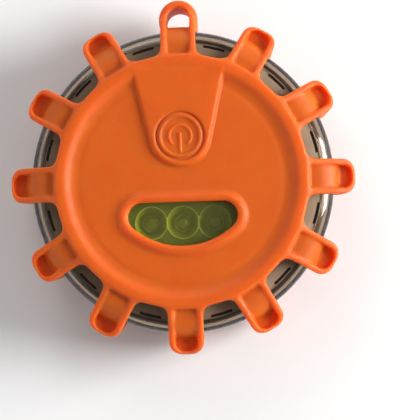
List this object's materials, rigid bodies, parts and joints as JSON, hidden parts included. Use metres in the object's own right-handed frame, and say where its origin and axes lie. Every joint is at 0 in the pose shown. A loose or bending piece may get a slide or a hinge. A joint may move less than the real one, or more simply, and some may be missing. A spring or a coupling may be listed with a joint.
{
  "type": "led safety flare",
  "caption": "Round puck road flare: clear casing in an orange rubber boot with bumper lugs and a hanging eye, torch window, rubber power button, magnet back.",
  "frame": {"origin": "centre of the magnet's pole face, on the puck's axis, in the plane that the back rests on", "axes": "+Z out of the front face along the puck's axis, +Y towards the lug with the hanging eye, +X to the right seen from the front"},
  "size_m": [0.1108, 0.1144, 0.033],
  "materials": {
    "orange_rubber": "satin moulded thermoplastic rubber, slightly translucent",
    "clear_plastic": "clear polycarbonate",
    "reflector": "metallised, olive tinted",
    "white_led": "clear epoxy",
    "red_led": "clear epoxy over a red die",
    "grey_plastic": "satin",
    "white_plastic": "satin",
    "black_plastic": "fine spark texture",
    "black_rubber": "matte",
    "circuit_board": "solder mask",
    "capacitor_can": "satin",
    "screw_steel": "zinc plated",
    "cell_steel": "plain wrapped label",
    "contact_nickel": "nickel plated",
    "lead_red": "insulated wire",
    "lead_black": "insulated wire",
    "magnet_cup_steel": "zinc plated",
    "magnet_nickel": "nickel plated"
  },
  "bodies": {
    "root": {"rubber_boot": "orange_rubber", "front_lens": "clear_plastic", "rear_case": "clear_plastic", "case_seal": "black_rubber", "case_screw_1": "screw_steel", "case_screw_2": "screw_steel", "case_screw_3": "screw_steel", "case_screw_4": "screw_steel", "main_board": "circuit_board", "board_screw_1": "screw_steel", "board_screw_2": "screw_steel", "board_screw_3": "screw_steel", "board_screw_4": "screw_steel", "switch_body": "black_plastic", "controller_chip": "black_plastic", "drive_transistor": "black_plastic", "storage_capacitor": "capacitor_can", "torch_reflector": "reflector", "torch_led_1": "white_led", "torch_led_2": "white_led", "torch_led_3": "white_led", "led_carrier": "grey_plastic", "side_led_01": "red_led", "side_led_02": "red_led", "side_led_03": "red_led", "side_led_04": "red_led", "side_led_05": "red_led", "side_led_06": "red_led", "side_led_07": "red_led", "side_led_08": "red_led", "side_led_09": "red_led", "side_led_10": "red_led", "side_led_11": "red_led", "side_led_12": "red_led", "battery_tray": "black_plastic", "battery_cell_1": "cell_steel", "battery_cell_2": "cell_steel", "battery_cell_3": "cell_steel", "contact_plate_1": "contact_nickel", "contact_plate_2": "contact_nickel", "contact_plate_3": "contact_nickel", "contact_spring_1": "contact_nickel", "contact_spring_2": "contact_nickel", "contact_spring_3": "contact_nickel", "positive_lead": "lead_red", "negative_lead": "lead_black", "battery_door": "black_plastic", "door_seal": "black_rubber", "door_screw_1": "screw_steel", "door_screw_2": "screw_steel", "door_screw_3": "screw_steel", "door_screw_4": "screw_steel", "magnet_cup": "magnet_cup_steel", "magnet": "magnet_nickel"},
    "button": {"power_button": "orange_rubber", "button_actuator": "white_plastic"},
    "plunger": {"switch_plunger": "black_plastic"}
  },
  "joints": [
    {"name": "button_press", "type": "slide", "parent": "root", "child": "button", "axis": [0, 0, -1], "range_m": [0, 0.0006], "stiffness_N_per_m": 3000},
    {"name": "plunger_press", "type": "slide", "parent": "root", "child": "plunger", "axis": [0, 0, -1], "range_m": [0, 0.0003]}
  ],
  "couplings": [
    {"joint": "plunger_press", "follows": "button_press", "ratio": 0.5}
  ]
}
